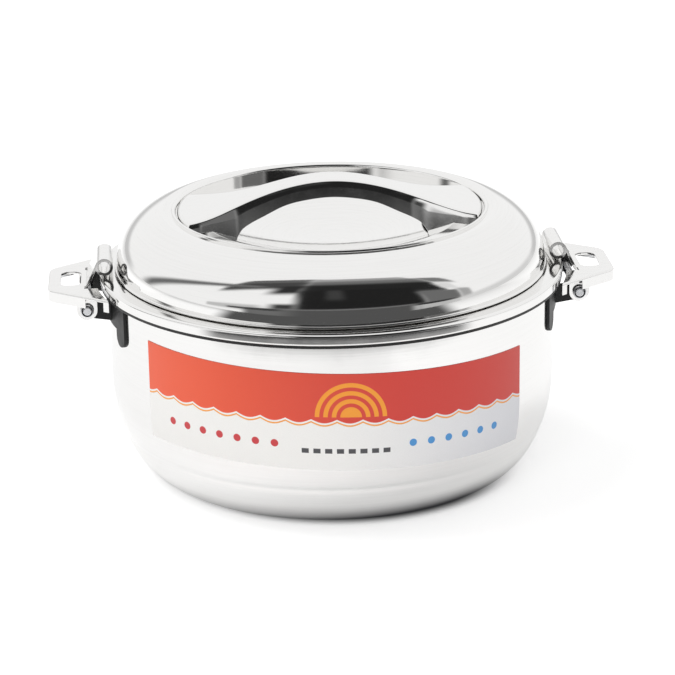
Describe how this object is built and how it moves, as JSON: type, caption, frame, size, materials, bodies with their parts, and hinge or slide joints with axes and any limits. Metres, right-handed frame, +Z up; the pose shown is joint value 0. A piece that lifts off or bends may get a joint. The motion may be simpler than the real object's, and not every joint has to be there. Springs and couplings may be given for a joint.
{
  "type": "insulated serving casserole",
  "caption": "Round insulated steel serving casserole with a lift-off lid, an arched bridge handle in a dished recess, and swinging side handles that clamp the lid.",
  "frame": {"origin": "centre of the base on the table, directly under the middle of the bounding box", "axes": "+Z up through the lid handle; +X towards the right side handle, along the longest extent; -Y towards the label at the front"},
  "size_m": [0.256, 0.21, 0.1343],
  "materials": {
    "polished_shell": "mirror polished stainless steel",
    "polished_pressing": "bright polished stainless steel, slightly softer than the shells",
    "satin_steel": "satin stainless steel with circular spinning marks",
    "bright_hardware": "bright plated steel",
    "black_bracket": "satin black coated steel",
    "black_plastic": "fine matt moulded",
    "white_plastic": "moulded",
    "insulation_foam": "rigid polyurethane foam, open skin",
    "seal_rubber": "translucent grey silicone",
    "printed_film": "glossy printed self-adhesive film"
  },
  "bodies": {
    "pot": {"outer_shell": "polished_shell", "inner_bowl": "polished_shell", "rim_ring": "black_plastic", "body_foam": "insulation_foam", "base_cover": "satin_steel", "base_plug": "white_plastic", "front_label": "printed_film", "left_bracket": "black_bracket", "right_bracket": "black_bracket", "left_hinge_pin": "bright_hardware", "right_hinge_pin": "bright_hardware", "hinge_pin_caps": "bright_hardware"},
    "left_clamp": {"left_handle": "polished_pressing"},
    "right_clamp": {"right_handle": "polished_pressing"},
    "lid": {"lid_shell": "polished_shell", "lid_recess_cup": "polished_shell", "lid_liner": "satin_steel", "lid_foam": "insulation_foam", "lid_seal": "seal_rubber", "lid_plug": "white_plastic", "lid_handle": "polished_shell", "left_foot_bracket": "satin_steel", "right_foot_bracket": "satin_steel", "handle_screws": "bright_hardware", "handle_washers": "bright_hardware", "handle_nuts": "bright_hardware"}
  },
  "joints": [
    {"name": "right_handle_swing", "type": "hinge", "parent": "pot", "child": "right_clamp", "pos_m": [0.1105, 0, 0.0824], "axis": [0, 1, 0], "range_deg": [-2.5, 58]},
    {"name": "left_handle_swing", "type": "hinge", "parent": "pot", "child": "left_clamp", "pos_m": [-0.1105, 0, 0.0824], "axis": [0, -1, 0], "range_deg": [-2.5, 58]},
    {"name": "lid_lift", "type": "slide", "parent": "pot", "child": "lid", "axis": [0, 0, 1], "range_m": [0, 0.09]}
  ]
}
